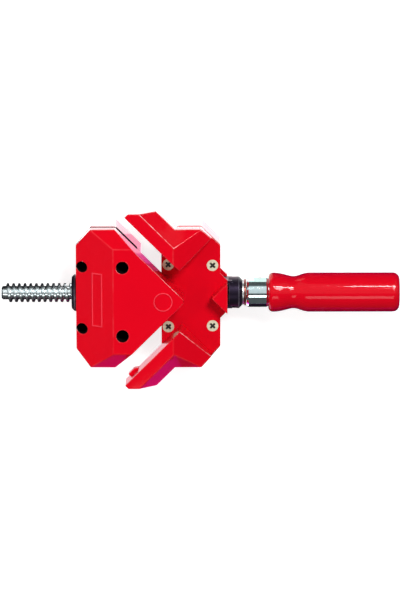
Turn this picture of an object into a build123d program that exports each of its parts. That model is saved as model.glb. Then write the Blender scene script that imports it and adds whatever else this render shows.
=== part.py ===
from build123d import *
import math
import os

# Corner clamp for bench work. +X runs along the spindle towards the handle, +Y across the clamp and +Z up.
# The origin lies on the underside of the fixed base, midway between its two rows of bench holes.
# All sizes are millimetres. "half" values are measured from the vertical plane through the spindle.

# Heights shared by both halves of the clamp
clamp_height = 50.0
parting_height = 29.0
side_eave_height = 39.0
axis_drop = 11.0
slide_gap = 0.4
fit_gap = 0.05
seat_gap = 0.02
swing_gap = 0.4
swing_angle = 3.0
wall = 4.0
overrun = 5.0

# Travel of the moving jaw along the spindle, from where the drawing has it
closing_travel = 9.2
opening_travel = 57.0

# Fixed jaw, seen from above
fixed_rear_x = -18.4
fixed_half_width = 49.2
fixed_rear_half = 36.9
fixed_corner_run = 10.2
fixed_tip_x = 58.1
nose_flat = 1.4
fixed_ridge_half = 37.3
fixed_rear_ridge_x = 7.7
fixed_rear_eave_height = 32.7
groove_height = 2.4
groove_depth = 1.6
groove_stop = 2.4
badge_x = 42.4
badge_radius = 6.6
badge_rim = 0.7
badge_height = 0.5
label_length = 38.0
label_width = 8.6
label_line = 0.8
label_height = 0.5
label_x = -3.4

# Fixed base, flush with the jaw's clamping faces and cut off square under its nose
base_front_x = 26.6
barrel_floor_gap = 0.5
base_roof = 6.0

# Bench holes
bench_hole_pitch = 28.4
rear_hole_radius = 3.75
rear_hole_spacing = 44.0
front_hole_radius = 4.3
front_hole_spacing = 48.6
hole_boss_wall = 2.6

# Screws that hold the fixed jaw down on its base, put in from below
body_screw_radius = 2.5
body_head_radius = 4.2
body_head_height = 4.0
body_head_recess = 1.0
body_socket_radius = 2.0
body_socket_depth = 2.2
body_screw_grip = 9.0
body_rear_screw = (-2.0, 35.0)
body_front_screw = (20.0, 17.0)

# Moving jaw, measured from the apex where its two clamping faces meet
jaw_opening = 12.23
plate_thickness = 3.0
plate_reach = 34.3
jaw_rear_reach = 6.9
jaw_half_width = 49.2
jaw_rear_half = 35.9
housing_lead = 3.2
block_inner_half = 20.2
pocket_side_run = 2.0
arm_half_span = 62.1
arm_tip_cut = 2.4
arm_band = 8.7
arm_width = 17.2
rear_ridge_reach = 25.9
rear_eave_reach = 6.1
nub_reach = 11.8
gusset_height = 11.0
gusset_half = 11.0
lug_inner_inset = 12.1
lug_outer_inset = 5.9
lug_reach = 2.0
lug_height = 6.0
lug_inlay = 1.5
lug_bevel = 1.4

# Jaw housing and the screws that hold the moving jaw on it
housing_roof = 4.0
plate_screw_radius = 2.0
plate_head_radius = 4.0
plate_screw_length = 18.0
plate_cross_width = 1.5
plate_cross_length = 4.6
plate_cross_depth = 1.3
plate_front_screw = (29.5, 22.2)
plate_rear_screw = (1.4, 21.6)
screw_boss_radius = 4.6

# Spindle: a right-hand trapezoidal thread, then a plain shank and the journal in the bearing
thread_radius = 6.65
thread_root_radius = 4.7
thread_pitch = 4.0
thread_crest = 1.3
thread_base = 2.5
thread_root_sink = 0.3
thread_hold = 19.5
thread_runout = 10.0
spindle_point = 2.2
point_chamfer = 0.9
shank_radius = 5.8
journal_radius = 5.0
tang_radius = 4.5
tang_length = 58.0

# Nut in the fixed base: a flanged block on two upright pivot pins
nut_pivot_inset = 6.0
nut_flange_radius = 13.0
nut_flange_projection = 3.4
nut_flange_thickness = 4.6
nut_flange_chamfer = 2.0
nut_flange_back_chamfer = 1.4
nut_barrel_radius = 9.5
nut_barrel_reach = 18.0
insert_wall = 1.6
insert_inset = 0.8
thread_gap = 0.15

# Bearing in the moving jaw: a block with a wider head outside the housing
bearing_pivot_reach = 6.1
bearing_half_width = 10.0
bearing_half_height = 7.6
bearing_inner_reach = 11.0
bearing_head_radius = 11.15
bearing_head_length = 9.6
bearing_head_chamfer = 2.4
bearing_head_gap = 0.9
bush_wall = 1.5

# Pivot pins of both blocks
pin_radius = 2.5
pin_hold = 2.0
pin_end_gap = 0.4
pin_reach = 5.5
plate_pin_reach = 4.5

# Thrust washers, collar, ferrule and handle
washer_thickness = 1.1
washer_radius = 8.6
inner_washer_radius = 7.4
collar_thickness = 1.5
collar_radius = 9.3
collar_edge = 0.4
ferrule_gap = 0.35
ferrule_length = 15.2
ferrule_radius = 10.3
ferrule_wall = 1.3
ferrule_end = 1.8
ferrule_bevel = 1.4
handle_length = 91.8
handle_face_radius = 9.9
handle_radius = 13.7
handle_waist_radius = 11.35
handle_shoulder = 3.4
handle_waist = 18.8
handle_swell = 29.1
handle_end_radius = 4.5
handle_pin_radius = 1.5
handle_pin_back = 6.0

# Worked out from the sizes above
rear_hole_x = -bench_hole_pitch / 2
front_hole_x = bench_hole_pitch / 2
apex_x = fixed_tip_x + jaw_opening * math.sqrt(2)
diagonal = math.sqrt(2)
plate_front_x = apex_x - plate_reach
jaw_rear_x = apex_x + jaw_rear_reach
nub_x = apex_x + nub_reach
plate_underside = parting_height - plate_thickness
axis_height = parting_height - axis_drop
floor_thickness = axis_height - nut_barrel_radius - barrel_floor_gap
lug_inner_half = arm_half_span - lug_inner_inset
lug_outer_half = arm_half_span - lug_outer_inset
swing = math.sin(math.radians(swing_angle))
nut_pivot_x = fixed_rear_x + nut_pivot_inset
nut_front_x = nut_pivot_x + nut_barrel_reach
flange_x = fixed_rear_x - nut_flange_projection
bearing_pivot_x = apex_x + bearing_pivot_reach
bearing_inner_x = bearing_pivot_x - bearing_inner_reach
head_x = nub_x + bearing_head_gap
bearing_outer_x = head_x + bearing_head_length
nut_low_seat = axis_height - nut_barrel_radius + pin_hold
nut_high_seat = axis_height + nut_barrel_radius - pin_hold
bearing_bottom = axis_height - bearing_half_height
bearing_top = axis_height + bearing_half_height
thread_start_x = nut_front_x - thread_hold - opening_travel
thread_end_x = nut_front_x + closing_travel + thread_runout
bush_radius = journal_radius + bush_wall
bearing_seat = (bearing_half_height - bush_radius) / 2
insert_bore_radius = thread_radius + thread_gap
insert_radius = insert_bore_radius + insert_wall
collar_x = bearing_outer_x + fit_gap + washer_thickness + seat_gap
ferrule_x = collar_x + collar_thickness + ferrule_gap
ferrule_rim_radius = ferrule_radius - ferrule_bevel / 2
ferrule_bore_radius = ferrule_rim_radius - ferrule_wall
handle_x = ferrule_x + ferrule_length
over = clamp_height + overrun


def prism(points, low, high):
    """A flat-ended solid over a closed outline."""
    return extrude(Plane.XY.offset(low) * make_face(Polyline(*points, close=True)), high - low)


def mirrored(points):
    """An outline given for +Y only, from front to rear, closed by its mirror image."""
    return points + [(x, -y) for x, y in reversed(points)]


def both_sides(shape):
    """A shape and its mirror image across the plane of the spindle."""
    return shape + mirror(shape, about=Plane.XZ)


def upright(x, y, radius, low, high):
    """An upright cylinder."""
    return Pos(x, y, low) * extrude(Circle(radius), high - low)


def along(x, radius, length):
    """A cylinder on the spindle's axis."""
    return extrude(Plane.YZ.offset(x) * Pos(0, axis_height) * Circle(radius), length)


def revolved(points):
    """A solid turned about the spindle's axis from (x, radius) points, starting and ending on the axis."""
    face = make_face(Polyline(*[(x, axis_height + r) for x, r in points], close=True))
    return revolve(Plane.XZ * face, Axis((0, 0, axis_height), (1, 0, 0)), 360)


def slab(x_low, x_high, half, low, high):
    """A block that straddles the plane of the spindle."""
    return prism([(x_low, -half), (x_high, -half), (x_high, half), (x_low, half)], low, high)


def roof_cut(x, y, heading, run, drop):
    """Cuts a roof facet that falls outwards from a ridge through (x, y), along a heading in degrees."""
    angle = math.radians(heading)
    outward = (math.cos(angle), math.sin(angle), 0)
    ridge = (-math.sin(angle), math.cos(angle), 0)
    place = Plane(origin=(x, y, clamp_height), x_dir=outward, z_dir=ridge)
    reach = over / run
    profile = [(0, 0), (reach * run, reach * drop), (reach * run, -overrun), (0, -overrun)]
    return extrude(place * make_face(Polyline(*profile, close=True)), 2 * over, both=True)


def screw_places(*places):
    """Each listed place and its mirror image."""
    return [(x, side * y) for x, y in places for side in (1, -1)]


def fixed_outline():
    """Outline of the fixed jaw: a block whose front comes to a square corner."""
    front_x = fixed_tip_x - fixed_half_width
    nose_x = fixed_tip_x - nose_flat
    return mirrored([
        (fixed_rear_x, fixed_rear_half),
        (fixed_rear_x + fixed_corner_run, fixed_half_width),
        (front_x, fixed_half_width),
        (nose_x, nose_flat),
    ])


def base_outline():
    """Outline of the fixed base: as the jaw's, but cut off square under the nose."""
    return mirrored([
        (fixed_rear_x, fixed_rear_half),
        (fixed_rear_x + fixed_corner_run, fixed_half_width),
        (fixed_tip_x - fixed_half_width, fixed_half_width),
        (base_front_x, fixed_tip_x - base_front_x),
    ])


def bench_holes(low, high, clearance=0.0):
    """The four upright holes for fixing the clamp to a bench."""
    holes = []
    for x, spacing, radius in (
        (rear_hole_x, rear_hole_spacing, rear_hole_radius),
        (front_hole_x, front_hole_spacing, front_hole_radius),
    ):
        for side in (1, -1):
            holes.append(upright(x, side * spacing / 2, radius + clearance, low, high))
    return Part() + holes


def nut_room():
    """The space that the nut swings in, and the pocket behind its flange."""
    barrel_half = nut_barrel_radius + nut_barrel_reach * swing + swing_gap
    room = slab(fixed_rear_x - overrun, nut_front_x + swing_gap + seat_gap, barrel_half,
                floor_thickness, parting_height)
    flange_swing = nut_flange_radius * swing
    pocket_radius = nut_flange_radius + nut_pivot_inset * swing + swing_gap
    pocket_end = flange_x + nut_flange_thickness + flange_swing + swing_gap
    pocket = along(fixed_rear_x - overrun, pocket_radius, pocket_end - fixed_rear_x + overrun)
    return room + pocket


def spindle_room(low_x, high_x, far_reach, top):
    """A tunnel wide enough for the spindle at the ends of its swing."""
    half = thread_radius + far_reach * swing + swing_gap
    return slab(low_x, high_x, half, axis_height - thread_radius - swing_gap, top)


def fixed_jaw():
    block = prism(fixed_outline(), parting_height, clamp_height)
    side_run = fixed_half_width - fixed_ridge_half
    side_drop = clamp_height - side_eave_height
    for heading, y in ((90, fixed_ridge_half), (-90, -fixed_ridge_half)):
        block -= roof_cut(0, y, heading, side_run, side_drop)
    rear_run = fixed_rear_ridge_x - fixed_rear_x
    block -= roof_cut(fixed_rear_ridge_x, 0, 180, rear_run, clamp_height - fixed_rear_eave_height)
    nose_room = slab(base_front_x, fixed_tip_x + overrun, fixed_half_width,
                     parting_height - overrun, parting_height + slide_gap)
    block -= nose_room
    groove_room = slab(fixed_rear_x - overrun, base_front_x - groove_stop, fixed_half_width + overrun,
                       parting_height, clamp_height)
    block -= groove(fixed_outline(), parting_height) & groove_room
    block -= bench_holes(parting_height - overrun, over)
    block -= nut_room()
    block -= upright(nut_pivot_x, 0, pin_radius + fit_gap, parting_height - overrun, nut_pin_top() + pin_end_gap)
    for x, y in screw_places(body_rear_screw, body_front_screw):
        grip_top = parting_height + body_screw_grip + pin_end_gap
        block -= upright(x, y, body_screw_radius + seat_gap, parting_height - overrun, grip_top)
    return block + badge() + label_frame()


def groove(outline, low):
    """A shadow groove round the foot of a block."""
    face = make_face(Polyline(*outline, close=True))
    inner = offset(face, -groove_depth, kind=Kind.INTERSECTION)
    outer = offset(face, overrun, kind=Kind.INTERSECTION)
    return extrude(Plane.XY.offset(low) * (outer - inner), groove_height)


def badge():
    """A plain raised ring near the nose, with nothing inside it."""
    ring = upright(badge_x, 0, badge_radius, clamp_height - badge_rim, clamp_height + badge_height)
    return ring - upright(badge_x, 0, badge_radius - badge_rim, clamp_height, clamp_height + overrun)


def label_frame():
    """A blank raised frame on the sloping rear roof."""
    fall = (clamp_height - fixed_rear_eave_height) / (fixed_rear_ridge_x - fixed_rear_x)
    slope = math.atan(fall)
    height = clamp_height - fall * (fixed_rear_ridge_x - label_x)
    place = Plane(origin=(label_x, 0, height), x_dir=(math.cos(slope), 0, math.sin(slope)),
                  z_dir=(-math.sin(slope), 0, math.cos(slope)))
    inner = Rectangle(label_width - 2 * label_line, label_length - 2 * label_line)
    frame = Rectangle(label_width, label_length) - inner
    return extrude(place.offset(-label_line) * frame, label_line + label_height)


def nut_pin_top():
    return parting_height + pin_reach


def nut_pin_bottom():
    return axis_height - nut_barrel_radius - pin_reach


def fixed_base():
    base = prism(base_outline(), 0, parting_height)
    base -= underside_pocket(base_outline(), parting_height - base_roof, wall, base_core(), base_bosses())
    base -= bench_holes(-overrun, over)
    base -= nut_room()
    base -= spindle_room(nut_front_x, base_front_x + overrun, base_front_x - nut_pivot_x, parting_height)
    base -= upright(nut_pivot_x, 0, pin_radius + fit_gap, nut_pin_bottom() - pin_end_gap, axis_height)
    for x, y in screw_places(body_rear_screw, body_front_screw):
        base -= upright(x, y, body_screw_radius + seat_gap, 0, over)
        base -= upright(x, y, body_head_radius + seat_gap, -overrun, body_head_recess + body_head_height)
    return base


def base_core():
    """The solid middle of the base, round the nut and the spindle."""
    half = nut_flange_radius + nut_pivot_inset * swing + swing_gap + wall
    return slab(fixed_rear_x, base_front_x, half, 0, parting_height)


def base_bosses():
    bosses = bench_holes(0, parting_height, hole_boss_wall)
    for x, y in screw_places(body_rear_screw, body_front_screw):
        bosses += upright(x, y, body_head_radius + hole_boss_wall, 0, parting_height)
    return bosses


def underside_pocket(outline, top, rim, core, bosses):
    """The hollow under a casting, leaving its rim, its middle and its bosses."""
    face = offset(make_face(Polyline(*outline, close=True)), -rim, kind=Kind.INTERSECTION)
    return extrude(Plane.XY.offset(-overrun) * face, top + overrun) - core - bosses


def fixed_jaw_screws():
    return socket_screws(screw_places(body_rear_screw, body_front_screw))


def socket_screws(places):
    """Socket-head screws that point upwards, heads in the base's underside."""
    screws = []
    for x, y in places:
        head_top = body_head_recess + body_head_height
        screw = upright(x, y, body_head_radius, body_head_recess, head_top)
        screw += upright(x, y, body_screw_radius, head_top - seat_gap, parting_height + body_screw_grip)
        socket = extrude(RegularPolygon(body_socket_radius, 6), body_socket_depth)
        screws.append(screw - Pos(x, y, body_head_recess) * socket)
    return Compound(children=screws)


def nut_block():
    """Flange outside the fixed jaw, round barrel inside, bored for the threaded insert."""
    flange_end = flange_x + nut_flange_thickness
    block = revolved([
        (flange_x, 0),
        (flange_x, nut_flange_radius - nut_flange_chamfer),
        (flange_x + nut_flange_chamfer, nut_flange_radius),
        (flange_end - nut_flange_back_chamfer, nut_flange_radius),
        (flange_end, nut_flange_radius - nut_flange_back_chamfer),
        (flange_end, nut_barrel_radius),
        (nut_front_x, nut_barrel_radius),
        (nut_front_x, 0),
    ])
    block -= along(flange_x - overrun, insert_radius + seat_gap, nut_front_x - flange_x + 2 * overrun)
    return block - nut_pin_seats()


def nut_pin_seats():
    """The two holes that the nut's pivot pins stand in, a little way into its insert."""
    low = upright(nut_pivot_x, 0, pin_radius + seat_gap, 0, nut_low_seat + seat_gap)
    return low + upright(nut_pivot_x, 0, pin_radius + seat_gap, nut_high_seat - seat_gap, over)


def threaded_insert():
    """The sleeve in the nut that the spindle screws through."""
    length = nut_front_x - flange_x - 2 * insert_inset
    sleeve = along(flange_x + insert_inset, insert_radius, length)
    sleeve -= along(flange_x - overrun, insert_bore_radius, nut_front_x - flange_x + 2 * overrun)
    return sleeve - nut_pin_seats()


def nut_pivot_pins():
    low = upright(nut_pivot_x, 0, pin_radius, nut_pin_bottom(), nut_low_seat)
    high = upright(nut_pivot_x, 0, pin_radius, nut_high_seat, nut_pin_top())
    return Compound(children=[low, high])


def plate_outline():
    """Outline of the jaw's floor plate and of the housing below it, without the nub."""
    lead_half = plate_reach + housing_lead
    chamfer_x = jaw_rear_x - (jaw_half_width - jaw_rear_half)
    side_x = plate_front_x + jaw_half_width - lead_half
    nub_half = gusset_half + nub_reach - jaw_rear_reach
    return mirrored([
        (plate_front_x, lead_half),
        (side_x, jaw_half_width),
        (chamfer_x, jaw_half_width),
        (jaw_rear_x, jaw_rear_half),
        (jaw_rear_x, nub_half),
        (nub_x, gusset_half),
    ])


def arm_outline():
    """The raised arm on the +Y side, from the inner corner of its face to its tip."""
    outer = arm_width * diagonal
    end_half = (2 * block_inner_half + outer) / 2
    return [
        (apex_x - block_inner_half, block_inner_half),
        (apex_x - arm_half_span + arm_tip_cut, arm_half_span - arm_tip_cut),
        (apex_x - arm_half_span + 2 * arm_tip_cut, arm_half_span),
        (apex_x + outer - arm_half_span, arm_half_span),
        (apex_x + outer - end_half, end_half),
    ]


def shoulder_outline():
    """The raised shoulder behind the arm on the +Y side."""
    chamfer_sum = jaw_rear_x + jaw_rear_half
    crease_end = (chamfer_sum - apex_x + 2 * block_inner_half) / 2
    return [
        (apex_x - block_inner_half, block_inner_half),
        (apex_x - rear_ridge_reach, rear_ridge_reach),
        (apex_x - rear_ridge_reach, fixed_ridge_half),
        (apex_x + arm_width * diagonal - jaw_half_width, jaw_half_width),
        (chamfer_sum - jaw_half_width, jaw_half_width),
        (chamfer_sum - crease_end, crease_end),
    ]


def raised_side(low, high):
    """One raised side of the moving jaw, an arm and its shoulder, under their sloping roofs."""
    side_drop = clamp_height - side_eave_height
    arm = prism(arm_outline(), low, high)
    arm -= roof_cut(apex_x + arm_band * diagonal, 0, 45, arm_width - arm_band, side_drop)
    shoulder = prism(shoulder_outline(), low, high)
    shoulder -= roof_cut(apex_x, fixed_ridge_half, 90, jaw_half_width - fixed_ridge_half, side_drop)
    side = arm + shoulder
    side -= roof_cut(apex_x - rear_ridge_reach, 0, 0, rear_ridge_reach - rear_eave_reach, side_drop)
    slope_half = block_inner_half + pocket_side_run / diagonal
    return side - roof_cut(apex_x - slope_half, slope_half, -45, pocket_side_run, clamp_height - parting_height)


def lug_outline(inset=0.0):
    """A small six-sided rest let into the inner face of an arm near its tip."""
    face_sum = apex_x - inset
    reach = (lug_reach + inset) * diagonal
    return [
        (face_sum - lug_inner_half, lug_inner_half),
        (face_sum + lug_inlay * diagonal - lug_inner_half, lug_inner_half),
        (face_sum + lug_inlay * diagonal - lug_outer_half, lug_outer_half),
        (face_sum - lug_outer_half, lug_outer_half),
        (face_sum - reach - lug_outer_half + lug_bevel, lug_outer_half - lug_bevel),
        (face_sum - reach - lug_inner_half - lug_bevel / 2, lug_inner_half + lug_bevel / 2),
    ]


def moving_jaw():
    arms = both_sides(raised_side(parting_height + slide_gap, clamp_height))
    feet = both_sides(raised_side(plate_underside, parting_height + slide_gap + fit_gap))
    plate = prism(plate_outline(), plate_underside, parting_height)
    tall_plate = prism(plate_outline(), plate_underside, parting_height + slide_gap + fit_gap)
    gusset_point = apex_x + nub_reach - gusset_half
    gusset = prism([(gusset_point, 0), (nub_x, -gusset_half), (nub_x, gusset_half)],
                   plate_underside, parting_height + gusset_height)
    jaw = arms + (feet & tall_plate) + plate + gusset
    jaw -= groove(plate_outline(), plate_underside)
    for x, y in plate_screws():
        jaw -= upright(x, y, plate_screw_radius + seat_gap, 0, over)
        jaw -= countersink(x, y, plate_head_radius + seat_gap)
        jaw -= upright(x, y, plate_head_radius + seat_gap, parting_height - seat_gap, over)
    pin_top = bearing_pin_top() + pin_end_gap
    jaw -= upright(bearing_pivot_x, 0, pin_radius + fit_gap, 0, pin_top)
    return jaw - both_sides(prism(lug_outline(), 0, parting_height + slide_gap + lug_height))


def arm_lugs():
    low = parting_height + slide_gap
    lug = prism(lug_outline(), low, low + lug_height)
    return Compound(children=[lug, mirror(lug, about=Plane.XZ)])


def countersink(x, y, radius):
    """The cone under a countersunk head whose top is flush with the floor plate."""
    depth = radius - plate_screw_radius
    cone = Pos(x, y, parting_height - depth / 2) * Cone(plate_screw_radius, radius, depth)
    return cone


def plate_screws():
    return screw_places((apex_x - plate_front_screw[0], plate_front_screw[1]),
                        (apex_x + plate_rear_screw[0], plate_rear_screw[1]))


def housing_screws():
    """Countersunk cross-head screws that hold the jaw on its housing."""
    screws = []
    for x, y in plate_screws():
        screw = countersink(x, y, plate_head_radius)
        depth = plate_head_radius - plate_screw_radius
        screw += upright(x, y, plate_screw_radius, parting_height - plate_screw_length, parting_height - depth)
        for spin in (45, -45):
            slot = Rot(0, 0, spin) * Box(plate_cross_length, plate_cross_width, 2 * plate_cross_depth)
            screw -= Pos(x, y, parting_height) * slot
        screws.append(screw)
    return Compound(children=screws)


def bearing_pin_top():
    return parting_height + plate_pin_reach


def bearing_pin_bottom():
    return bearing_bottom - pin_reach


def jaw_housing():
    body = prism(plate_outline(), 0, plate_underside)
    body -= underside_pocket(plate_outline(), plate_underside - housing_roof, wall, housing_core(), housing_bosses())
    body -= bearing_room()
    body -= spindle_room(plate_front_x - overrun, bearing_inner_x, bearing_pivot_x - plate_front_x, plate_underside)
    body -= upright(bearing_pivot_x, 0, pin_radius + fit_gap, bearing_pin_bottom() - pin_end_gap, axis_height)
    for x, y in plate_screws():
        end = parting_height - plate_screw_length - pin_end_gap
        body -= upright(x, y, plate_screw_radius + seat_gap, end, over)
    return body


def bearing_room():
    """The space that the bearing swings in, open to the rear."""
    half = bearing_half_width + bearing_inner_reach * swing + swing_gap
    low = bearing_bottom - swing_gap
    inside = slab(bearing_inner_x - swing_gap - washer_thickness - fit_gap, jaw_rear_x, half, low, plate_underside)
    behind = slab(jaw_rear_x, nub_x + overrun, jaw_half_width, low, plate_underside)
    return inside + behind


def housing_core():
    half = bearing_half_width + bearing_inner_reach * swing + swing_gap + wall
    return slab(plate_front_x, nub_x, half, 0, plate_underside)


def housing_bosses():
    bosses = Part()
    for x, y in plate_screws():
        bosses += upright(x, y, screw_boss_radius, 0, plate_underside)
    return bosses


def bearing_block():
    """A flat-sided block inside the housing and a round chamfered head outside it."""
    block = slab(bearing_inner_x, head_x + bearing_head_chamfer, bearing_half_width,
                 bearing_bottom, bearing_top)
    block += revolved([
        (head_x, 0),
        (head_x, bearing_head_radius),
        (bearing_outer_x - bearing_head_chamfer, bearing_head_radius),
        (bearing_outer_x, bearing_head_radius - bearing_head_chamfer),
        (bearing_outer_x, 0),
    ])
    block -= along(bearing_inner_x - overrun, bush_radius + seat_gap,
                   bearing_outer_x - bearing_inner_x + 2 * overrun)
    block -= upright(bearing_pivot_x, 0, pin_radius + seat_gap, 0, bearing_bottom + bearing_seat)
    return block - upright(bearing_pivot_x, 0, pin_radius + seat_gap, bearing_top - bearing_seat, over)


def bearing_bush():
    length = bearing_outer_x - bearing_inner_x
    sleeve = along(bearing_inner_x, bush_radius, length)
    return sleeve - along(bearing_inner_x - overrun, journal_radius + fit_gap, length + 2 * overrun)


def bearing_pivot_pins():
    """Two pins that stand in the bearing block, short of its bush."""
    low = upright(bearing_pivot_x, 0, pin_radius, bearing_pin_bottom(), bearing_bottom + bearing_seat)
    high = upright(bearing_pivot_x, 0, pin_radius, bearing_top - bearing_seat, bearing_pin_top())
    return Compound(children=[low, high])


def thread_ridge():
    """The helical ridge of the thread, one unbroken sweep."""
    length = thread_end_x - thread_start_x - thread_pitch
    path = Helix(pitch=thread_pitch, height=length, radius=thread_root_radius)
    depth = thread_radius - thread_root_radius
    flank = (thread_base - thread_crest) / 2 / depth
    root_half = thread_base / 2 + flank * thread_root_sink
    profile = [(-thread_root_sink, -root_half), (depth, -thread_crest / 2),
               (depth, thread_crest / 2), (-thread_root_sink, root_half)]
    place = Plane(origin=path @ 0, x_dir=(1, 0, 0), z_dir=path % 0)
    ridge = sweep(place * make_face(Polyline(*profile, close=True)), path=path, is_frenet=True)
    return Pos(thread_start_x + spindle_point + thread_base / 2, 0, axis_height) * Rot(0, 90, 0) * ridge


def spindle():
    shank_end = bearing_inner_x - washer_thickness - seat_gap - fit_gap
    tang_end = handle_x + tang_length
    core = revolved([
        (thread_start_x, 0),
        (thread_start_x, thread_root_radius - point_chamfer),
        (thread_start_x + point_chamfer, thread_root_radius),
        (thread_end_x, thread_root_radius),
        (thread_end_x + thread_pitch / 2, shank_radius),
        (shank_end, shank_radius),
        (shank_end, journal_radius),
        (handle_x, journal_radius),
        (handle_x, tang_radius),
        (tang_end, tang_radius),
        (tang_end, 0),
    ])
    pin_room = cross_pin(handle_pin_radius + seat_gap, ferrule_radius + overrun)
    return core + thread_ridge() - pin_room


def cross_pin(radius, half):
    """A pin across the spindle under the ferrule, level with the bench."""
    x = handle_x - handle_pin_back
    return Pos(x, 0, axis_height) * Rot(90, 0, 0) * Cylinder(radius, 2 * half)


def ring(x, thickness, outer, inner):
    """A flat washer on the spindle's axis."""
    return along(x, outer, thickness) - along(x - overrun, inner, thickness + 2 * overrun)


def inner_thrust_washer():
    x = bearing_inner_x - washer_thickness - fit_gap
    return ring(x, washer_thickness, inner_washer_radius, journal_radius + fit_gap)


def outer_thrust_washer():
    return ring(bearing_outer_x + fit_gap, washer_thickness, washer_radius, journal_radius + fit_gap)


def thrust_collar():
    body = revolved([
        (collar_x, 0),
        (collar_x, collar_radius - collar_edge),
        (collar_x + collar_edge, collar_radius),
        (collar_x + collar_thickness - collar_edge, collar_radius),
        (collar_x + collar_thickness, collar_radius - collar_edge),
        (collar_x + collar_thickness, 0),
    ])
    return body - along(collar_x - overrun, journal_radius + seat_gap, collar_thickness + 2 * overrun)


def ferrule():
    """A plated cup over the front end of the handle."""
    cup = revolved([
        (ferrule_x, 0),
        (ferrule_x, ferrule_rim_radius),
        (ferrule_x + ferrule_bevel, ferrule_radius),
        (handle_x - ferrule_bevel, ferrule_radius),
        (handle_x, ferrule_rim_radius),
        (handle_x, 0),
    ])
    cup -= along(ferrule_x + ferrule_end, ferrule_bore_radius, ferrule_length)
    cup -= along(ferrule_x - overrun, journal_radius + seat_gap, ferrule_length)
    return cup - cross_pin(handle_pin_radius + seat_gap, ferrule_radius + overrun)


def handle():
    """A turned grip with a waist behind its shoulder, and a spigot inside the ferrule."""
    end_x = handle_x + handle_length
    spigot_radius = ferrule_bore_radius - seat_gap
    spigot_x = ferrule_x + ferrule_end + seat_gap
    shoulder = (handle_x + handle_shoulder, handle_radius)
    swell = (handle_x + handle_swell, handle_radius)
    waist = (handle_x + handle_waist, handle_waist_radius)
    round_start = (end_x - handle_end_radius, handle_radius)
    round_end = (end_x, handle_radius - handle_end_radius)

    def at(point):
        return (point[0], axis_height + point[1])

    face_corner = (handle_x, handle_face_radius)
    edges = [
        Polyline((spigot_x, axis_height), at((spigot_x, spigot_radius)), at((handle_x, spigot_radius)),
                 at(face_corner)),
        Spline(at(face_corner), at(shoulder), tangents=[(0, 1), (1, 0)]),
        Spline(at(shoulder), at(waist), at(swell), tangents=[(1, 0), (1, 0)]),
        Line(at(swell), at(round_start)),
        RadiusArc(at(round_start), at(round_end), handle_end_radius),
        Line(at(round_end), (end_x, axis_height)),
        Line((end_x, axis_height), (spigot_x, axis_height)),
    ]
    grip = revolve(Plane.XZ * make_face(edges), Axis((0, 0, axis_height), (1, 0, 0)), 360)
    grip -= along(spigot_x - overrun, journal_radius + seat_gap, handle_x - spigot_x + overrun)
    grip -= along(handle_x - seat_gap, tang_radius + seat_gap, tang_length + 2 * seat_gap)
    return grip - cross_pin(handle_pin_radius + seat_gap, ferrule_radius + overrun)


def handle_pin():
    return cross_pin(handle_pin_radius, ferrule_radius - seat_gap)


parts = {
    "fixed_jaw": fixed_jaw,
    "fixed_base": fixed_base,
    "fixed_jaw_screws": fixed_jaw_screws,
    "nut_block": nut_block,
    "threaded_insert": threaded_insert,
    "nut_pivot_pins": nut_pivot_pins,
    "moving_jaw": moving_jaw,
    "arm_lugs": arm_lugs,
    "jaw_housing": jaw_housing,
    "housing_screws": housing_screws,
    "bearing_block": bearing_block,
    "bearing_bush": bearing_bush,
    "bearing_pivot_pins": bearing_pivot_pins,
    "inner_thrust_washer": inner_thrust_washer,
    "outer_thrust_washer": outer_thrust_washer,
    "spindle": spindle,
    "thrust_collar": thrust_collar,
    "ferrule": ferrule,
    "handle": handle,
    "handle_pin": handle_pin,
}

os.makedirs("parts", exist_ok=True)
for name, make in parts.items():
    export_step(make(), f"parts/{name}.step")
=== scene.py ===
import math

import bmesh
import bpy
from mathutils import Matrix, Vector


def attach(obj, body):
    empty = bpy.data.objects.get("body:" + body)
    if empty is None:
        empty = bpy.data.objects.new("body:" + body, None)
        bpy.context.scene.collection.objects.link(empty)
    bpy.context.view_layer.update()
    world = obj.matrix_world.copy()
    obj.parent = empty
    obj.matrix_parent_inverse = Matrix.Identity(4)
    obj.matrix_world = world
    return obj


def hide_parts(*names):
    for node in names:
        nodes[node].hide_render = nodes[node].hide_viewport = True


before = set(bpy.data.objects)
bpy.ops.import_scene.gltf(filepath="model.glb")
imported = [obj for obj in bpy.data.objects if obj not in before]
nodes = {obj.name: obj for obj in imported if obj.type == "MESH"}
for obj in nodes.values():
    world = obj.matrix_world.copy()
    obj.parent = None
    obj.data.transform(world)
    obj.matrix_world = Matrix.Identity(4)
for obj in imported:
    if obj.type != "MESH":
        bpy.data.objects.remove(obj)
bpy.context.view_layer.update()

# Corner clamp: finishes, rounded castings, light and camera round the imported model.
# Everything is in metres. +X runs to the handle, +Y across the clamp, +Z up from the bench.

scene = bpy.context.scene
rising, falling = (0.0, 1.0), (1.0, 0.0)  # the two ways a mask runs
print("frame loaded:", len(nodes), "nodes")


# small helpers for node trees; x and y only lay the nodes out in the editor

def addNode(tree, kind, x, y, **values):
    node = tree.nodes.new(kind)
    node.location = (x, y)
    for key, value in values.items():
        setattr(node, key, value)
    return node


def setInputs(node, **values):
    for key, value in values.items():
        node.inputs[key.replace("_", " ")].default_value = value
    return node


def makeGroup(name, inputs, outputs):
    tree = bpy.data.node_groups.new(name, "ShaderNodeTree")
    for label, value in inputs.items():
        tree.interface.new_socket(label, in_out="INPUT", socket_type="NodeSocketFloat").default_value = value
    for label in outputs:
        tree.interface.new_socket(label, in_out="OUTPUT", socket_type="NodeSocketFloat")
    return tree, addNode(tree, "NodeGroupInput", -900, 0), addNode(tree, "NodeGroupOutput", 700, 0)


def placeGroup(tree, group, x, y, **values):
    return setInputs(addNode(tree, "ShaderNodeGroup", x, y, node_tree=group), **values)


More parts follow.
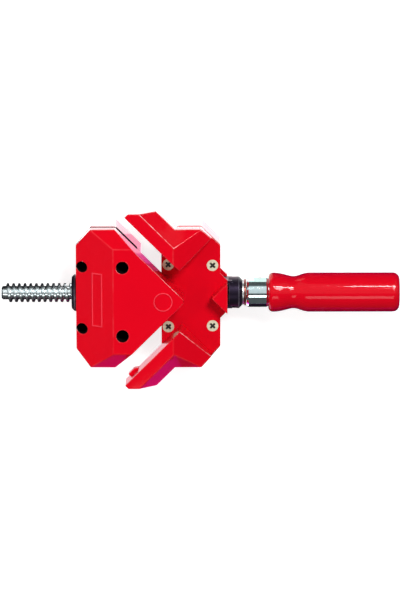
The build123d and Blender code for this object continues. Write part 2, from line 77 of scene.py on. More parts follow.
def linkOrSet(tree, socket, value):
    if isinstance(value, (int, float, tuple)):
        socket.default_value = value
    else:
        tree.links.new(value, socket)


def mathNode(tree, operation, first, second, x, y, clamp=False):
    node = addNode(tree, "ShaderNodeMath", x, y, operation=operation, use_clamp=clamp)
    linkOrSet(tree, node.inputs[0], first)
    linkOrSet(tree, node.inputs[1], second)
    return node.outputs[0]


def squared(tree, value, x, y):
    return mathNode(tree, "MULTIPLY", value, value, x, y)


def mapRange(tree, value, source, target, x, y):
    # what lies between the two source numbers is spread between the two target numbers
    node = addNode(tree, "ShaderNodeMapRange", x, y, clamp=True)
    tree.links.new(value, node.inputs["Value"])
    for key, number in zip(("From Min", "From Max", "To Min", "To Max"), (*source, *target)):
        node.inputs[key].default_value = number
    return node.outputs["Result"]


def mixColour(tree, factor, first, second, x, y):
    node = addNode(tree, "ShaderNodeMix", x, y, data_type="RGBA")
    for place, value in ((0, factor), (6, first), (7, second)):  # the sockets of a colour mix
        linkOrSet(tree, node.inputs[place], value)
    return node.outputs[2]


def alongNormal(tree, coords, towards, x, y):
    # how squarely the surface faces one direction
    node = addNode(tree, "ShaderNodeVectorMath", x, y, operation="DOT_PRODUCT")
    tree.links.new(coords.outputs["Normal"], node.inputs[0])
    node.inputs[1].default_value = towards
    return node.outputs["Value"]


def objectPlace(tree, x, y):
    # X, Y and Z of a point on the clamp, in metres
    coords = addNode(tree, "ShaderNodeTexCoord", x, y)
    parts = addNode(tree, "ShaderNodeSeparateXYZ", x + 200, y)
    tree.links.new(coords.outputs["Object"], parts.inputs[0])
    return parts.outputs


# effects that several finishes share

# settings of the edge wear and of the painted highlight on the edges that face the key light
edgeWearAndHighlightSettings = {
    "patches": (0.36, 0.62), "highlightPatches": (0.42, 0.56), "highlightLeft": (0.15, 1.0),
    "highlightTowards": (0.39, 0.39, 0.83), "highlightWidth": (0.90, 0.985),
    "steepTowards": (0.80, 0.35, 0.0), "steepness": (0.39, 0.44)}


def buildEdgeWearAndHighlight():
    # where the rounded edges of a piece have rubbed thin (Mask), and a painted highlight on the rounded edges that
    # face up towards +X and +Y, where the key light catches them (second output)
    look = edgeWearAndHighlightSettings
    tree, given, result = makeGroup(
        "edgeWearAndHighlight", {"Amount": 0.5, "Patch Scale": 90.0, "Evenness": 0.4, "Rubbed": 0.0}, ["Mask", "Highlight"])
    rim = addNode(tree, "ShaderNodeAttribute", -700, 200, attribute_type="GEOMETRY", attribute_name="rim")
    coords = addNode(tree, "ShaderNodeTexCoord", -700, -100)
    patches = addNode(tree, "ShaderNodeTexNoise", -450, -100)
    setInputs(patches, Detail=4.0, Roughness=0.6)
    tree.links.new(coords.outputs["Object"], patches.inputs["Vector"])
    tree.links.new(given.outputs["Patch Scale"], patches.inputs["Scale"])
    spread = mapRange(tree, patches.outputs[0], look["patches"], rising, -200, -100)
    lifted = mathNode(tree, "MAXIMUM", spread, given.outputs["Evenness"], 0, -100)
    masked = mathNode(tree, "MULTIPLY", rim.outputs["Fac"], lifted, 200, 0)
    scaled = mathNode(tree, "MULTIPLY", masked, given.outputs["Amount"], 400, 0, clamp=True)
    tree.links.new(scaled, result.inputs["Mask"])
    near = mapRange(tree, alongNormal(tree, coords, look["highlightTowards"], -450, 500),
                    look["highlightWidth"], rising, -200, 500)
    # the ridges between two roofs lie flatter than the edges over the boards, and get no painted highlight
    steep = mapRange(tree, alongNormal(tree, coords, look["steepTowards"], -450, 750),
                     look["steepness"], rising, -200, 750)
    patchy = mapRange(tree, patches.outputs[0], look["highlightPatches"], look["highlightLeft"], -200, 250)
    facingLight = mathNode(tree, "MULTIPLY", near, steep, 0, 550)
    broken = mathNode(tree, "MULTIPLY", facingLight, patchy, 0, 400)
    highlightOnRims = mathNode(tree, "MULTIPLY", broken, rim.outputs["Fac"], 200, 400)
    paintedHighlight = mathNode(tree, "MULTIPLY", highlightOnRims, given.outputs["Rubbed"], 400, 400, clamp=True)
    tree.links.new(paintedHighlight, result.inputs["Highlight"])
    return tree


paintSkinSettings = {"nibSize": (0.02, 0.14), "nibClouds": (0.56, 0.64), "nibHeight": 0.8, "clouds": (0.3, 0.7)}


def buildPaintSkin():
    # sprayed enamel over a casting: fine peel, slow clouding and a few dust nibs
    look = paintSkinSettings
    tree, given, result = makeGroup(
        "paintSkin", {"Peel Scale": 900.0, "Cloud Scale": 28.0, "Nib Scale": 260.0}, ["Height", "Cloud"])
    coords = addNode(tree, "ShaderNodeTexCoord", -700, 0)
    peel = addNode(tree, "ShaderNodeTexNoise", -400, 250)
    setInputs(peel, Detail=3.0, Roughness=0.45)
    cloud = addNode(tree, "ShaderNodeTexNoise", -400, 0)
    setInputs(cloud, Detail=5.0, Roughness=0.55)
    nibs = addNode(tree, "ShaderNodeTexVoronoi", -400, -250, feature="F1")
    setInputs(nibs, Randomness=1.0)
    for node, label in ((peel, "Peel Scale"), (cloud, "Cloud Scale"), (nibs, "Nib Scale")):
        tree.links.new(coords.outputs["Object"], node.inputs["Vector"])
        tree.links.new(given.outputs[label], node.inputs["Scale"])
    dots = mapRange(tree, nibs.outputs["Distance"], look["nibSize"], falling, -150, -250)
    rare = mapRange(tree, cloud.outputs[0], look["nibClouds"], rising, -150, -450)
    spots = mathNode(tree, "MULTIPLY", dots, rare, 100, -250)
    lumps = mathNode(tree, "MULTIPLY", spots, look["nibHeight"], 300, -250)
    height = mathNode(tree, "ADD", peel.outputs[0], lumps, 500, 200)
    tree.links.new(height, result.inputs["Height"])
    tree.links.new(mapRange(tree, cloud.outputs[0], look["clouds"], rising, 100, 50), result.inputs["Cloud"])
    return tree


turnedMarksSettings = {"rings": (0.35, 0.65), "smears": (0.35, 0.65)}


def buildTurnedMarks():
    # rings left by the lathe along the spindle's axis, and smears of handling
    look = turnedMarksSettings
    tree, given, result = makeGroup(
        "turnedMarks", {"Ring Scale": 2600.0, "Smear Scale": 140.0}, ["Height", "Rings", "Smears"])
    coords = addNode(tree, "ShaderNodeTexCoord", -700, 0)
    parts = addNode(tree, "ShaderNodeSeparateXYZ", -500, 150)
    tree.links.new(coords.outputs["Object"], parts.inputs[0])
    along = addNode(tree, "ShaderNodeTexNoise", -200, 150, noise_dimensions="1D")
    setInputs(along, Detail=3.0, Roughness=0.7)
    tree.links.new(parts.outputs["X"], along.inputs["W"])
    tree.links.new(given.outputs["Ring Scale"], along.inputs["Scale"])
    smears = addNode(tree, "ShaderNodeTexNoise", -200, -150)
    setInputs(smears, Detail=5.0, Roughness=0.6)
    tree.links.new(coords.outputs["Object"], smears.inputs["Vector"])
    tree.links.new(given.outputs["Smear Scale"], smears.inputs["Scale"])
    tree.links.new(along.outputs[0], result.inputs["Height"])
    tree.links.new(mapRange(tree, along.outputs[0], look["rings"], rising, 100, 150), result.inputs["Rings"])
    tree.links.new(mapRange(tree, smears.outputs[0], look["smears"], rising, 100, -150), result.inputs["Smears"])
    return tree


edgeWearAndHighlight = buildEdgeWearAndHighlight()
paintSkin = buildPaintSkin()
turnedMarks = buildTurnedMarks()
print("shared effects built")


# finishes

def startMaterial(name):
    material = bpy.data.materials.new(name)
    material.use_nodes = True
    tree = material.node_tree
    shader = tree.nodes["Principled BSDF"]
    shader.location = (500, 0)
    return material, tree, shader


shadeFade, boreFade = 0.0003, 0.0002  # how softly a dark band and a dark bore end


def paintedShadeBand(tree, place, low, high, rear, front, y):
    # painted shade: near-black between two heights, between two places along the clamp
    under = mapRange(tree, place["Z"], (high - shadeFade, high), falling, -900, y)
    above = mapRange(tree, place["Z"], (low, low + shadeFade), rising, -900, y + 250)
    behind = mapRange(tree, place["X"], (front - shadeFade, front), falling, -900, y + 500)
    beyond = mapRange(tree, place["X"], (rear, rear + shadeFade), rising, -900, y + 750)
    level = mathNode(tree, "MULTIPLY", under, above, -700, y)
    stretch = mathNode(tree, "MULTIPLY", behind, beyond, -700, y + 500)
    return mathNode(tree, "MULTIPLY", level, stretch, -500, y)


def paintedShadeBore(tree, place, x, halfSpacing, radius, y):
    # painted shade in an upright bore and its twin on the other side of the clamp
    fromMiddle = mathNode(tree, "ABSOLUTE", place["Y"], 0.0, -1100, y)
    across = mathNode(tree, "SUBTRACT", fromMiddle, halfSpacing, -900, y)
    along = mathNode(tree, "SUBTRACT", place["X"], x, -900, y + 250)
    away = mathNode(tree, "ADD", squared(tree, across, -700, y), squared(tree, along, -700, y + 250), -500, y)
    return mapRange(tree, away, (radius ** 2, (radius + boreFade) ** 2), falling, -300, y)


def paintedShadeMask(tree, look):
    place = objectPlace(tree, -1500, 500)
    masks = [paintedShadeBand(tree, place, *band, 500 + 1000 * i) for i, band in enumerate(look["paintedShadeBands"])]
    masks += [paintedShadeBore(tree, place, *bore, -600 - 500 * i) for i, bore in enumerate(look.get("paintedShadeBores", ()))]
    total = masks[0]
    for mask in masks[1:]:
        total = mathNode(tree, "MAXIMUM", total, mask, -200, 700)
    return total


def raisedMask(tree, look):
    # whatever stands up from the falling roof or from the flat top
    place = objectPlace(tree, -1500, 900)
    fall = mathNode(tree, "MULTIPLY", place["X"], look["roofSlope"], -1100, 900)
    roof = mathNode(tree, "ADD", fall, look["roofHeight"], -900, 900)
    ground = mathNode(tree, "MINIMUM", roof, look["flatTop"], -700, 900)
    above = mathNode(tree, "SUBTRACT", place["Z"], ground, -500, 900)
    return mapRange(tree, above, look["raisedFrom"], (0.0, look["raisedShare"]), -300, 900)


def enamel(name, look):
    material, tree, shader = startMaterial(name)
    setInputs(shader, IOR=look["ior"], Coat_Weight=look["coat"], Coat_Roughness=look["coatRough"],
              Coat_IOR=look["coatIor"], Specular_Tint=look["sheenColour"])
    skin = placeGroup(tree, paintSkin, -700, 0, Peel_Scale=look["peelScale"], Cloud_Scale=look["cloudScale"])
    edgeMarks = placeGroup(tree, edgeWearAndHighlight, -700, -300, Amount=look["edgeMarks"], Evenness=look["evenWear"])
    clouded = mixColour(tree, mathNode(tree, "MULTIPLY", skin.outputs["Cloud"], look["clouding"], -450, 150),
                        look["colour"], look["deepColour"], -250, 200)
    wornAndPaintedLight = mixColour(tree, edgeMarks.outputs["Mask"], clouded, look["wornColour"], 0, 200)
    # painted highlight: a pale pink line along the rounded edges that face the key light
    if "paintedHighlight" in look:
        setInputs(edgeMarks, Rubbed=look["paintedHighlight"])
        wornAndPaintedLight = mixColour(tree, edgeMarks.outputs["Highlight"], wornAndPaintedLight, look["paintedHighlightColour"], 100, 300)
    # painted highlight: the raised lettering frame a lighter red
    if "raisedHighlightColour" in look:
        wornAndPaintedLight = mixColour(tree, raisedMask(tree, look), wornAndPaintedLight, look["raisedHighlightColour"], 150, 300)
    # painted shade: near-black in the parting groove and the bench bores, with the coat and the gloss taken off
    # there
    if "paintedShadeBands" in look:
        paintedShade = paintedShadeMask(tree, look)
        wornAndPaintedLight = mixColour(tree, paintedShade, wornAndPaintedLight, look["paintedShadeColour"], 200, 350)
        unshaded = mathNode(tree, "SUBTRACT", 1.0, paintedShade, 0, 600)
        tree.links.new(unshaded, shader.inputs["Coat Weight"])
        gloss = mathNode(tree, "MULTIPLY", unshaded, look["unshadedGloss"], 200, 600)
        tree.links.new(gloss, shader.inputs["Specular IOR Level"])
    tree.links.new(wornAndPaintedLight, shader.inputs["Base Color"])
    rough = mapRange(tree, skin.outputs["Cloud"], rising, (look["smooth"], look["dull"]), -250, -50)
    duller = mathNode(tree, "MULTIPLY", edgeMarks.outputs["Mask"], look["wornDull"], -250, -300)
    tree.links.new(mathNode(tree, "ADD", rough, duller, 0, -50), shader.inputs["Roughness"])
    bump = setInputs(addNode(tree, "ShaderNodeBump", 250, -300), Strength=1.0, Distance=look["peelDepth"])
    tree.links.new(skin.outputs["Height"], bump.inputs["Height"])
    tree.links.new(bump.outputs["Normal"], shader.inputs["Normal"])
    return material


def metal(name, look):
    material, tree, shader = startMaterial(name)
    setInputs(shader, Metallic=look["metallic"])
    marks = placeGroup(tree, turnedMarks, -700, 0, Ring_Scale=look["ringScale"], Smear_Scale=look["smearScale"])
    edgeMarks = placeGroup(tree, edgeWearAndHighlight, -700, -300, Amount=look["edgeMarks"], Evenness=look["evenWear"])
    smeared = mixColour(tree, mathNode(tree, "MULTIPLY", marks.outputs["Smears"], look["clouding"], -450, 150),
                        look["colour"], look["deepColour"], -250, 200)
    wornAndPaintedLight = mixColour(tree, edgeMarks.outputs["Mask"], smeared, look["wornColour"], 0, 200)
    # painted shade: the cross recesses of the screws near-black
    if "paintedShadeBands" in look:
        wornAndPaintedLight = mixColour(tree, paintedShadeMask(tree, look), wornAndPaintedLight, look["paintedShadeColour"], 200, 350)
    tree.links.new(wornAndPaintedLight, shader.inputs["Base Color"])
    ringRough = mapRange(tree, marks.outputs["Rings"], rising, (look["smooth"], look["dull"]), -250, -50)
    smearRough = mathNode(tree, "MULTIPLY", marks.outputs["Smears"], look["smearDull"], -250, -200)
    tree.links.new(mathNode(tree, "ADD", ringRough, smearRough, 0, -50), shader.inputs["Roughness"])
    bump = setInputs(addNode(tree, "ShaderNodeBump", 250, -300), Strength=1.0, Distance=look["ringDepth"])
    tree.links.new(marks.outputs["Height"], bump.inputs["Height"])
    tree.links.new(bump.outputs["Normal"], shader.inputs["Normal"])
    return material


enamelBase = {"coatRough": 0.06, "wornDull": 0.08}
# the last, pale pink colour below is a painted highlight along the rounded edges facing the key light
redEnamelLook = {
    **enamelBase,
    "colour": (0.72, 0.0012, 0.011, 1), "deepColour": (0.64, 0.0008, 0.011, 1), "wornColour": (0.93, 0.22, 0.25, 1),
    "sheenColour": (1.0, 0.02, 0.06, 1), "ior": 1.2, "coat": 1.0, "coatIor": 1.22, "clouding": 0.5,
    "smooth": 0.24, "dull": 0.34, "peelScale": 900.0, "peelDepth": 0.00001, "cloudScale": 28.0,
    "edgeMarks": 0.09, "evenWear": 0.2, "paintedHighlight": 0.75, "paintedHighlightColour": (1.0, 0.80, 0.80, 1)}
# the same red on the two castings with the bench holes: painted shade in the parting line and the bores, painted
# highlight on the raised lines.
# A band goes from height to height, then from rear to front; a bore has its X, half spacing and radius
seamedEnamelLook = {
    **redEnamelLook,
    "paintedShadeColour": (0.010, 0.008, 0.008, 1), "unshadedGloss": 0.5,
    "paintedShadeBands": [(0.0279, 0.0315, -1.0, 0.0245), (0.0242, 0.0318, 0.0095, 0.0245)],
    "paintedShadeBores": [(0.0142, 0.0243, 0.0043), (-0.0142, 0.022, 0.00375)],
    "raisedHighlightColour": (1.0, 0.09, 0.14, 1), "raisedShare": 0.45, "raisedFrom": (0.0001, 0.0003),
    "roofSlope": 0.66284, "roofHeight": 0.0449, "flatTop": 0.05}  # the rear roof's line, and the flat in front of it
blackEnamelLook = {
    **enamelBase,
    "colour": (0.012, 0.009, 0.017, 1), "deepColour": (0.007, 0.006, 0.010, 1), "wornColour": (0.30, 0.28, 0.33, 1),
    "sheenColour": (0.30, 0.22, 0.42, 1), "ior": 1.4, "coat": 0.0, "coatIor": 1.5, "clouding": 0.8,
    "smooth": 0.26, "dull": 0.38, "peelScale": 1100.0, "peelDepth": 0.000012, "cloudScale": 60.0,
    "edgeMarks": 0.5, "evenWear": 0.35}
handleLook = {
    **enamelBase, "coatRough": 0.04,
    "colour": (0.66, 0.0012, 0.012, 1), "deepColour": (0.58, 0.001, 0.010, 1), "wornColour": (0.80, 0.08, 0.10, 1),
    "sheenColour": (1.0, 0.10, 0.15, 1), "ior": 1.12, "coat": 1.0, "coatIor": 1.28, "clouding": 0.4,
    "smooth": 0.20, "dull": 0.30, "peelScale": 420.0, "peelDepth": 0.000012, "cloudScale": 22.0,
    "edgeMarks": 0.2, "evenWear": 0.3}

metalBase = {"metallic": 1.0, "evenWear": 0.5, "clouding": 0.8, "smearDull": 0.10, "ringDepth": 0.000008}
zincSpindleLook = {
    **metalBase, "clouding": 0.7,
    "colour": (0.66, 0.73, 0.73, 1), "deepColour": (0.46, 0.53, 0.56, 1), "wornColour": (0.8, 0.83, 0.82, 1),
    "smooth": 0.16, "dull": 0.26, "ringScale": 3200.0, "smearScale": 260.0, "edgeMarks": 0.3}
chromeLook = {
    **metalBase, "clouding": 0.5, "smearDull": 0.05, "ringDepth": 0.000002,
    "colour": (0.70, 0.86, 0.88, 1), "deepColour": (0.56, 0.74, 0.78, 1), "wornColour": (0.9, 0.9, 0.9, 1),
    "smooth": 0.05, "dull": 0.09, "ringScale": 1800.0, "smearScale": 320.0, "edgeMarks": 0.2}
steelLook = {
    **metalBase,
    "colour": (0.58, 0.58, 0.57, 1), "deepColour": (0.42, 0.42, 0.43, 1), "wornColour": (0.75, 0.75, 0.74, 1),
    "smooth": 0.22, "dull": 0.36, "ringScale": 2400.0, "smearScale": 300.0, "edgeMarks": 0.4}
# painted shade in the cross recesses of the screws
yellowZincLook = {  # the recess of each cross screw is dark below its band's upper height
    **metalBase, "metallic": 0.35, "clouding": 0.9, "smearDull": 0.12, "ringDepth": 0.000005,
    "colour": (0.70, 0.67, 0.50, 1), "deepColour": (0.57, 0.55, 0.38, 1), "wornColour": (0.78, 0.76, 0.64, 1),
    "paintedShadeColour": (0.012, 0.012, 0.010, 1), "paintedShadeBands": [(0.0, 0.0288, -1.0, 1.0)],
    "smooth": 0.30, "dull": 0.42, "ringScale": 1500.0, "smearScale": 420.0, "edgeMarks": 0.4}
bronzeLook = {
    **metalBase, "smearDull": 0.12, "ringDepth": 0.000010,
    "colour": (0.60, 0.38, 0.15, 1), "deepColour": (0.42, 0.25, 0.10, 1), "wornColour": (0.75, 0.5, 0.25, 1),
    "smooth": 0.32, "dull": 0.46, "ringScale": 2000.0, "smearScale": 700.0, "edgeMarks": 0.3}
# painted reflection: the collar's dark red-brown stands in for the red handle mirrored in its steel
collarLook = {
    **metalBase,
    "colour": (0.30, 0.10, 0.075, 1), "deepColour": (0.16, 0.05, 0.045, 1), "wornColour": (0.6, 0.5, 0.45, 1),
    "smooth": 0.24, "dull": 0.36, "ringScale": 2400.0, "smearScale": 300.0, "edgeMarks": 0.8}

redEnamel = enamel("redEnamel", redEnamelLook)
seamedEnamel = enamel("seamedEnamel", seamedEnamelLook)
blackEnamel = enamel("blackEnamel", blackEnamelLook)
redHandle = enamel("redHandle", handleLook)
zincThread = metal("zincThread", zincSpindleLook)
chrome = metal("chrome", chromeLook)
plainSteel = metal("plainSteel", steelLook)
yellowZinc = metal("yellowZinc", yellowZincLook)
bronze = metal("bronze", bronzeLook)
collarPaintedReflection = metal("collarPaintedReflection", collarLook)
print("finishes built:", len(bpy.data.materials))


# castings with their edges rounded

rounding = {
    "weld": 0.000002, "flat": math.radians(0.5),  # what counts as one point, and as one face
    "crease": math.radians(24),  # edges flatter than this are left alone
    "stubRatio": 3,  # a stub is joined where all around it is this many radii long
    "share": 0.3,  # how much of a face's breadth a rounding may take
    "segments": 3, "sharp": math.radians(34), "evening": 100}


def openRegions(work):
    # faces that run on smoothly into each other, and how wide each such region is
    regionOf, widths = {}, []
    for start in work.faces:
        if start.index in regionOf:
            continue
        number, stack, area, rim = len(widths), [start], 0.0, 0.0
        regionOf[start.index] = number
        while stack:
            face = stack.pop()
            area += face.calc_area()
            for edge in face.edges:
                if len(edge.link_faces) != 2 or edge.calc_face_angle() > rounding["crease"]:
                    rim += edge.calc_length()
                    continue
                for other in edge.link_faces:
                    if other.index not in regionOf:
                        regionOf[other.index] = number
                        stack.append(other)
        widths.append(2 * area / max(rim, 1e-6))
    return regionOf, widths


def joinStubs(work, radius):
    # a corner cut by an edge shorter than the rounding becomes one point, circles are left alone
    room = rounding["stubRatio"] * radius
    stubs = []
    for edge in work.edges:
        if edge.calc_length() > radius:
            continue
        others = [other for vert in edge.verts for other in vert.link_edges if other is not edge]
        breadths = [2 * face.calc_area() / sum(side.calc_length() for side in face.edges)
                    for face in edge.link_faces]
        if min(other.calc_length() for other in others) > room and min(breadths) > room:
            stubs.append(edge)
    bmesh.ops.collapse(work, edges=stubs)
    print("short corner edges joined:", len(stubs))


def roundedCopy(node, look):
    name, material, radius = look["name"], look["finish"], look["radius"]
    work = bmesh.new()
    work.from_mesh(nodes[node].data)
    bmesh.ops.remove_doubles(work, verts=work.verts, dist=rounding["weld"])
    bmesh.ops.dissolve_limit(work, angle_limit=rounding["flat"], use_dissolve_boundaries=False,
                             verts=work.verts, edges=work.edges)
    joinStubs(work, radius)
    work.faces.index_update()
    regionOf, widths = openRegions(work)
    weights = work.edges.layers.float.new("bevel_weight_edge")
    for edge in work.edges:
        if len(edge.link_faces) != 2 or not edge.is_convex or edge.calc_face_angle() <= rounding["crease"]:
            continue
        room = min(widths[regionOf[face.index]] for face in edge.link_faces)
        edge[weights] = min(1.0, rounding["share"] * room / radius)
    for face in work.faces:
        face.material_index = 0
        face.smooth = True
    mesh = bpy.data.meshes.new(name + "Blank")
    work.to_mesh(mesh)
    work.free()
    mesh.materials.append(material)
    mesh.materials.append(material)  # the second slot marks the rounded strips for a moment
    blank = bpy.data.objects.new(name + "Blank", mesh)
    scene.collection.objects.link(blank)
    bevel = blank.modifiers.new("rounding", "BEVEL")
    bevel.limit_method, bevel.width, bevel.segments = "WEIGHT", radius, rounding["segments"]
    bevel.use_clamp_overlap, bevel.loop_slide, bevel.material = False, False, 1
    bpy.context.view_layer.update()
    shaped = bpy.data.meshes.new_from_object(blank.evaluated_get(bpy.context.evaluated_depsgraph_get()))
    bpy.data.objects.remove(blank)
    shaped.name = name
    rim = shaped.attributes.new("rim", "FLOAT", "FACE")
    rim.data.foreach_set("value", [float(face.material_index == 1) for face in shaped.polygons])
    shaped.polygons.foreach_set("material_index", [0] * len(shaped.polygons))
    shaped.materials.clear()
    shaped.materials.append(material)
    shaped.set_sharp_from_angle(angle=rounding["sharp"])
    piece = bpy.data.objects.new(name, shaped)
    scene.collection.objects.link(piece)
    evened = piece.modifiers.new("evenShading", "WEIGHTED_NORMAL")
    evened.keep_sharp, evened.weight = True, rounding["evening"]
    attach(piece, look["body"])
    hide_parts(node)


roundedPieces = {
    "fixed_jaw": {"name": "fixed_jaw_casting", "body": "base", "slot": "red_casting",
                  "finish": seamedEnamel, "radius": 0.0006},
    "fixed_base": {"name": "fixed_base_casting", "body": "base", "slot": "red_casting",
                   "finish": seamedEnamel, "radius": 0.0005},
    "moving_jaw": {"name": "moving_jaw_casting", "body": "jaw", "slot": "red_casting",
                   "finish": redEnamel, "radius": 0.0006},
    "jaw_housing": {"name": "jaw_housing_casting", "body": "jaw", "slot": "red_casting",
                    "finish": redEnamel, "radius": 0.0005},
    "arm_lugs": {"name": "arm_lug_pair", "body": "jaw", "slot": "red_casting",
                 "finish": redEnamel, "radius": 0.0003},
    "nut_block": {"name": "nut_block_casting", "body": "nut", "slot": "black_casting",
                  "finish": blackEnamel, "radius": 0.0004},
    "bearing_block": {"name": "bearing_block_casting", "body": "bearing", "slot": "black_casting",
                      "finish": blackEnamel, "radius": 0.0004},
}
for node, look in roundedPieces.items():
    roundedCopy(node, look)
    print("rounded", node)


# finishes on the parts that keep the shape they were packed with

keptFinishes = {
    "spindle": zincThread, "handle": redHandle, "ferrule": chrome, "thrust_collar": collarPaintedReflection,
    "inner_thrust_washer": plainSteel, "outer_thrust_washer": plainSteel, "bearing_bush": bronze,
    "threaded_insert": plainSteel, "nut_pivot_pins": plainSteel, "bearing_pivot_pins": plainSteel,
    "handle_pin": plainSteel, "housing_screws": yellowZinc, "fixed_jaw_screws": plainSteel,
}
for node, material in keptFinishes.items():
    slots = nodes[node].data.materials
    slots.clear()
    slots.append(material)
print("finishes assigned:", len(keptFinishes))


# floor, sky, lamps

studio = {
    "floorHalf": 4.0, "floorDrop": 0.0002, "floorColour": (0.5, 0.5, 0.5, 1), "floorGlow": 0.80,
    "cardDrop": 0.00018, "cardStep": 0.000008, "screenColour": (0.003, 0.003, 0.003, 1),
    "skyBright": 0.75, "skyDark": 0.10, "skyFill": 0.14, "skySeen": 1.0,
    "lampAim": (0.06, 0.0, 0.02)}


def startGlow(name):
    # an empty material with its output and one light-giving node
    material = bpy.data.materials.new(name)
    material.use_nodes = True
    tree = material.node_tree
    tree.nodes.clear()
    glow = addNode(tree, "ShaderNodeEmission", 0, -100)
    output = addNode(tree, "ShaderNodeOutputMaterial", 400, 0)
    return material, tree, glow, output


def flatSheet(name, west, east, south, north):
    mesh = bpy.data.meshes.new(name)
    corners = [(west, south, 0), (east, south, 0), (east, north, 0), (west, north, 0)]
    mesh.from_pydata(corners, [], [(0, 1, 2, 3)])
    sheet = bpy.data.objects.new(name, mesh)
    scene.collection.objects.link(sheet)
    return sheet


def seenDirectly(tree, x, y):
    # 1 for rays from the camera, from mirrors and through glass
    path = addNode(tree, "ShaderNodeLightPath", x, y)
    seen = mathNode(tree, "MAXIMUM", path.outputs["Is Camera Ray"], path.outputs["Is Glossy Ray"], x + 200, y)
    return mathNode(tree, "MAXIMUM", seen, path.outputs["Is Transmission Ray"], x + 400, y)


def buildFloor():
    half = studio["floorHalf"]
    floor = flatSheet("floor", -half, half, -half, half)
    floor.location.z = -studio["floorDrop"]
    material, tree, glow, output = startGlow("paleFloor")
    strength = mathNode(tree, "MULTIPLY", seenDirectly(tree, -800, -100), studio["floorGlow"], -200, -100)
    tree.links.new(strength, glow.inputs["Strength"])
    matt = addNode(tree, "ShaderNodeBsdfDiffuse", 0, 100)
    matt.inputs["Color"].default_value = studio["floorColour"]
    both = addNode(tree, "ShaderNodeAddShader", 200, 0)
    tree.links.new(matt.outputs[0], both.inputs[0])
    tree.links.new(glow.outputs[0], both.inputs[1])
    tree.links.new(both.outputs[0], output.inputs["Surface"])
    floor.data.materials.append(material)


# what the glossy surfaces see on the bench: west, east, south and north edge, then the colour.
# Each card lies just above the ones before it
reflectionCards = {
    "farCard": (-3.0, 3.0, -3.0, 3.0, (0.012, 0.010, 0.014, 1)),
    "northCard": (-0.0275, 0.094, 0.0, 0.14, (3.0, 2.9, 2.95, 1)),
    "wallTopCard": (-0.03, 0.094, 0.0557, 0.061, (2.4, 2.1, 2.15, 1)),
    "rearCard": (0.045, 0.094, -0.075, 0.049, (2.1, 1.8, 1.9, 1)),
    "gapStartCard": (0.004, 0.020, -0.075, 0.049, (2.1, 1.5, 1.7, 1)),
    "gapCard": (0.020, 0.034, -0.075, 0.049, (1.7, 0.75, 1.05, 1)),
    "gapEndCard": (0.034, 0.045, 0.0, 0.049, (0.9, 0.12, 0.55, 1)),
    "southGapCard": (-0.0186, 0.045, -0.075, 0.0, (1.5, 0.95, 1.05, 1)),
    "holeCard": (-0.0184, 0.020, -0.031, 0.031, (0.002, 0.002, 0.002, 1)),
    "threadCard": (-3.0, -0.022, -0.03, 0.03, (0.012, 0.014, 0.018, 1)),
    "ferruleCard": (0.094, 0.117, 0.0, 0.14, (1.1, 1.2, 1.1, 1)),
    "handleCard": (0.117, 3.0, -3.0, 0.14, (0.05, 0.004, 0.10, 1)),
    "southCard": (-0.022, 0.094, -0.40, -0.075, (2.6, 0.03, 1.5, 1)),
    "southEastCard": (0.094, 3.0, -0.20, -0.135, (2.6, 0.03, 1.5, 1)),
    "cornerCard": (0.094, 0.106, 0.02, 0.06, (2.1, 2.0, 2.05, 1)),
}
# low upright cards that keep the coloured ones out of the ferrule and the thread:
# west and east edge, height, and where they stand along Y
uprightScreens = {
    "ferruleScreen": (0.0965, 0.123, 0.018, -0.115),
    "threadScreen": (-0.080, -0.008, 0.016, -0.0505),
}


def addCard(name, west, east, south, north, colour, height):
    # lies on the bench and shows only in reflections
    card = flatSheet(name, west, east, south, north)
    card.location.z = height
    material, tree, glow, output = startGlow(name)
    glow.inputs["Color"].default_value = colour
    tree.links.new(glow.outputs[0], output.inputs["Surface"])
    card.data.materials.append(material)
    card.visible_camera = card.visible_diffuse = card.visible_shadow = card.visible_transmission = False
    return card


def addCards():
    for level, (name, (west, east, south, north, colour)) in enumerate(reflectionCards.items()):
        addCard(name, west, east, south, north, colour, studio["cardStep"] * level - studio["cardDrop"])
    for name, (west, east, top, place) in uprightScreens.items():
        screen = addCard(name, west, east, 0.0, top, studio["screenColour"], 0.0)
        screen.location.y, screen.rotation_euler.x = place, math.pi / 2


def buildSky():
    # bright to the north of the zenith, dark to the south
    world = bpy.data.worlds.new("studioSky")
    scene.world = world
    world.use_nodes = True
    tree = world.node_tree
    tree.nodes.clear()
    coords = addNode(tree, "ShaderNodeTexCoord", -900, 100)
    parts = addNode(tree, "ShaderNodeSeparateXYZ", -700, 100)
    tree.links.new(coords.outputs["Generated"], parts.inputs[0])
    across = mapRange(tree, parts.outputs["Y"], (-1.0, 1.0), rising, -500, 100)
    ramp = addNode(tree, "ShaderNodeValToRGB", -300, 100)
    tree.links.new(across, ramp.inputs["Fac"])
    dark, bright, fill, seen = (studio[key] for key in ("skyDark", "skyBright", "skyFill", "skySeen"))
    # from the south horizon, over the zenith in the middle, to the north horizon
    stops = [(0.0, dark), (0.49, dark), (0.56, bright), (0.925, bright), (0.95, dark)]
    while len(ramp.color_ramp.elements) < len(stops):
        ramp.color_ramp.elements.new(0.5)
    for element, (place, level) in zip(ramp.color_ramp.elements, stops):
        element.position = place
        element.color = (level, level, level, 1)
    path = addNode(tree, "ShaderNodeLightPath", -300, -200)
    shown = mixColour(tree, path.outputs["Is Glossy Ray"], (fill, fill, fill, 1), ramp.outputs["Color"], -100, 0)
    colour = mixColour(tree, path.outputs["Is Camera Ray"], shown, (seen, seen, seen, 1), 50, 0)
    background = addNode(tree, "ShaderNodeBackground", 250, 0)
    tree.links.new(colour, background.inputs["Color"])
    output = addNode(tree, "ShaderNodeOutputWorld", 450, 0)
    tree.links.new(background.outputs[0], output.inputs["Surface"])


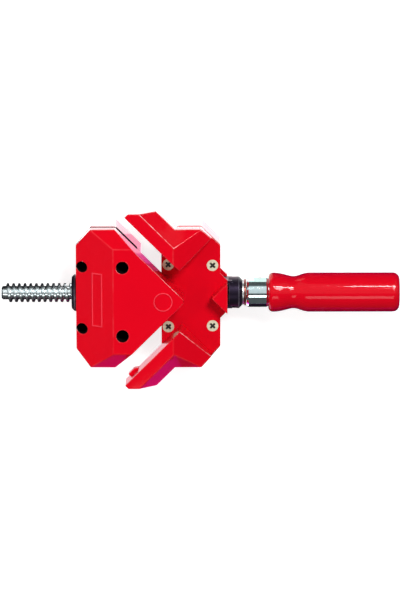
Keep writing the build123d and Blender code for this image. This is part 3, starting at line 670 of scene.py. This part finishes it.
# bearing in degrees east of north, height in degrees above the bench, slid along X at the end
lamps = {
    "keyLamp": {"bearing": 30, "height": 50, "distance": 1.6, "width": 0.5, "depth": 0.5, "power": 21.5},
    "northStrip": {"bearing": 0, "height": 44, "distance": 1.5, "width": 1.0, "depth": 0.13, "power": 23.0,
                   "slide": 0.66, "hiddenFrom": "visible_diffuse"},  # draws the long lines on the handle
    "southStrip": {"bearing": 180, "height": 68, "distance": 1.5, "width": 0.9, "depth": 0.30, "power": 3.2},
    "westFill": {"bearing": 270, "height": 32, "distance": 1.6, "width": 1.0, "depth": 1.0, "power": 12.5,
                 "hiddenFrom": "visible_glossy"},
}


def addLamp(name, look):
    a, e = math.radians(look["bearing"]), math.radians(look["height"])
    towards = Vector((math.sin(a) * math.cos(e), math.cos(a) * math.cos(e), math.sin(e)))
    data = bpy.data.lights.new(name, "AREA")
    data.shape, data.size, data.size_y, data.energy = "RECTANGLE", look["width"], look["depth"], look["power"]
    lamp = bpy.data.objects.new(name, data)
    lamp.location = Vector(studio["lampAim"]) + towards * look["distance"] + Vector((look.get("slide", 0.0), 0, 0))
    lamp.rotation_euler = (-towards).to_track_quat("-Z", "Y").to_euler()
    scene.collection.objects.link(lamp)
    if "hiddenFrom" in look:
        setattr(lamp, look["hiddenFrom"], False)


buildFloor()
addCards()
buildSky()
for name, look in lamps.items():
    addLamp(name, look)
print("studio built")


# camera, nearly overhead and leaning a little from the north

view = {"lean": math.radians(12.5), "roll": math.radians(-0.1), "distance": 3.0, "aim": (0.0684, 0.0002, 0.0455),
        "frameWidth": 0.2786, "photoShape": 601 / 401, "filmWidth": 36.0, "clip": (0.1, 20.0)}


def buildCamera():
    data = bpy.data.cameras.new("photoCamera")
    camera = bpy.data.objects.new("photoCamera", data)
    lean, roll, distance = view["lean"], view["roll"], view["distance"]
    away = Vector((-math.sin(lean) * math.sin(roll), math.sin(lean) * math.cos(roll), math.cos(lean)))
    camera.location = Vector(view["aim"]) + away * distance
    camera.rotation_euler = (-lean, 0, roll)
    data.sensor_width = view["filmWidth"]
    data.lens = data.sensor_width * distance / (view["frameWidth"] * view["photoShape"])
    data.clip_start, data.clip_end = view["clip"]
    scene.collection.objects.link(camera)
    scene.camera = camera


buildCamera()
scene.view_settings.view_transform = "Standard"
print("camera placed")
